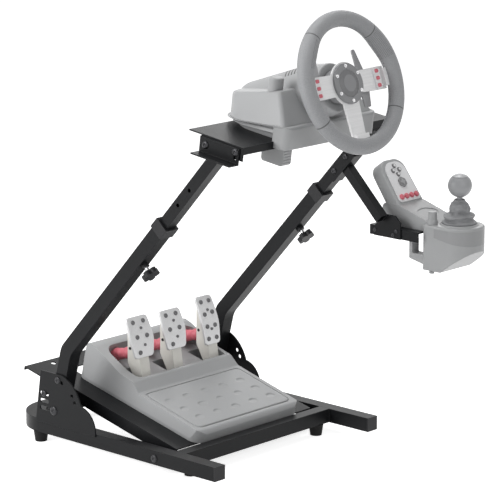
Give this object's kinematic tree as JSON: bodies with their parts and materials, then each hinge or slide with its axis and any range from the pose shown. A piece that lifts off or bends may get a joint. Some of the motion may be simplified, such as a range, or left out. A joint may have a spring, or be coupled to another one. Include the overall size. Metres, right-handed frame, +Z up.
{
  "type": "sim racing cockpit",
  "caption": "Folding black steel wheel stand carrying a steering wheel on its motor base, a sloping pedal tray with clutch, brake and throttle, and a gear shifter on a side arm.",
  "frame": {"origin": "on the floor under the middle of the part's bounding box", "axes": "+Z up, +Y away from the driver, +X to the driver's right"},
  "size_m": [0.618, 0.8234, 0.954],
  "materials": {
    "frame_black": "fine black powder coat",
    "black_plastic": "satin moulded",
    "foot_rubber": "matt",
    "bolt_steel": "zinc plated",
    "grey_housing": "fine moulded grain",
    "wheel_leather": "stitched, smooth",
    "spoke_metal": "brushed",
    "hub_grey": "satin",
    "pale_panel": "satin",
    "red_button": "satin",
    "dark_button": "satin",
    "arm_cream": "satin moulded",
    "pedal_metal": "brushed",
    "spring_red": "matt",
    "lever_leather": "soft, pleated"
  },
  "bodies": {
    "base": {"base_tube": "frame_black", "front_crossbar": "frame_black", "end_caps": "black_plastic", "rubber_feet": "foot_rubber", "right_gusset": "frame_black", "left_gusset": "frame_black", "pivot_bolts": "bolt_steel", "tray_pivots": "bolt_steel", "slot_bolts": "bolt_steel"},
    "uprights": {"right_upright": "frame_black", "left_upright": "frame_black", "guide_collars": "black_plastic", "height_knobs": "black_plastic"},
    "risers": {"right_riser": "frame_black", "left_riser": "frame_black", "plate_brackets": "frame_black", "shifter_clip": "frame_black", "shifter_arm": "frame_black", "shifter_gusset": "frame_black", "shifter_plate": "frame_black", "shifter_housing": "grey_housing", "shifter_console": "pale_panel", "console_buttons": "dark_button", "console_red_buttons": "red_button", "shifter_clamps": "grey_housing", "lever_boot": "lever_leather"},
    "wheel_mount": {"wheel_plate": "frame_black", "plate_bolts": "bolt_steel", "base_upper_shell": "grey_housing", "base_lower_shell": "grey_housing", "base_apron": "grey_housing", "base_clamps": "grey_housing"},
    "steering_wheel": {"wheel_rim": "wheel_leather", "wheel_spokes": "spoke_metal", "hub_disc": "hub_grey", "button_strips": "pale_panel", "wheel_buttons": "red_button", "wheel_boss": "hub_grey"},
    "right_paddle_body": {"right_paddle": "spoke_metal"},
    "left_paddle_body": {"left_paddle": "spoke_metal"},
    "tray": {"pedal_tray": "frame_black", "tray_bolts": "bolt_steel", "pedal_unit": "grey_housing", "pedal_pins": "bolt_steel", "clutch_spring": "spring_red", "brake_spring": "spring_red", "throttle_spring": "spring_red"},
    "clutch": {"clutch_arm": "arm_cream", "clutch_face": "pedal_metal"},
    "brake": {"brake_arm": "arm_cream", "brake_face": "pedal_metal"},
    "throttle": {"throttle_arm": "arm_cream", "throttle_face": "pedal_metal"},
    "cross": {"lever_cross": "bolt_steel"},
    "lever": {"lever_shaft": "bolt_steel", "lever_knob": "lever_leather"}
  },
  "joints": [
    {"name": "frame_fold", "type": "hinge", "parent": "base", "child": "uprights", "pos_m": [-0.053, 0.26719, 0.0804], "axis": [1, 0, 0], "range_deg": [0, 30]},
    {"name": "height_slide", "type": "slide", "parent": "uprights", "child": "risers", "axis": [0, -0.6743, 0.7385], "range_m": [-0.035, 0.1]},
    {"name": "plate_tilt", "type": "hinge", "parent": "risers", "child": "wheel_mount", "pos_m": [-0.053, -0.15018, 0.69931], "axis": [1, 0, 0], "range_deg": [0, 8]},
    {"name": "steering", "type": "hinge", "parent": "wheel_mount", "child": "steering_wheel", "pos_m": [-0.053, -0.33231, 0.816], "axis": [0, -0.9478, 0.319], "range_deg": [-450, 450]},
    {"name": "right_paddle_pull", "type": "hinge", "parent": "steering_wheel", "child": "right_paddle_body", "pos_m": [-0.006, -0.30293, 0.80611], "axis": [0, -0.319, -0.9478], "range_deg": [0, 4], "stiffness_Nm_per_rad": 0.6, "springref_deg": -2.86},
    {"name": "left_paddle_pull", "type": "hinge", "parent": "steering_wheel", "child": "left_paddle_body", "pos_m": [-0.1, -0.30293, 0.80611], "axis": [0, 0.319, 0.9478], "range_deg": [0, 4], "stiffness_Nm_per_rad": 0.6, "springref_deg": -2.86},
    {"name": "tray_tilt", "type": "hinge", "parent": "base", "child": "tray", "pos_m": [-0.053, -0.02631, 0.0374], "axis": [1, 0, 0], "range_deg": [-5.5, 0]},
    {"name": "clutch_press", "type": "hinge", "parent": "tray", "child": "clutch", "pos_m": [-0.13796, 0.15926, 0.11348], "axis": [-1, 0, 0], "range_deg": [0, 15], "stiffness_Nm_per_rad": 16, "springref_deg": -2.29, "deforming": ["clutch_spring"]},
    {"name": "brake_press", "type": "hinge", "parent": "tray", "child": "brake", "pos_m": [-0.04, 0.15926, 0.11348], "axis": [-1, 0, 0], "range_deg": [0, 15], "stiffness_Nm_per_rad": 16, "springref_deg": -2.29, "deforming": ["brake_spring"]},
    {"name": "throttle_press", "type": "hinge", "parent": "tray", "child": "throttle", "pos_m": [0.0706, 0.15926, 0.11348], "axis": [-1, 0, 0], "range_deg": [0, 15], "stiffness_Nm_per_rad": 16, "springref_deg": -2.29, "deforming": ["throttle_spring"]},
    {"name": "lever_fore_aft", "type": "hinge", "parent": "risers", "child": "cross", "pos_m": [0.259, -0.35969, 0.46626], "axis": [1, 0, 0], "range_deg": [-12, 12], "stiffness_Nm_per_rad": 2.5, "deforming": ["lever_boot"]},
    {"name": "lever_side", "type": "hinge", "parent": "cross", "child": "lever", "pos_m": [0.259, -0.35969, 0.46626], "axis": [0, 1, 0], "range_deg": [-8, 8], "stiffness_Nm_per_rad": 2.5, "deforming": ["lever_boot"]}
  ]
}
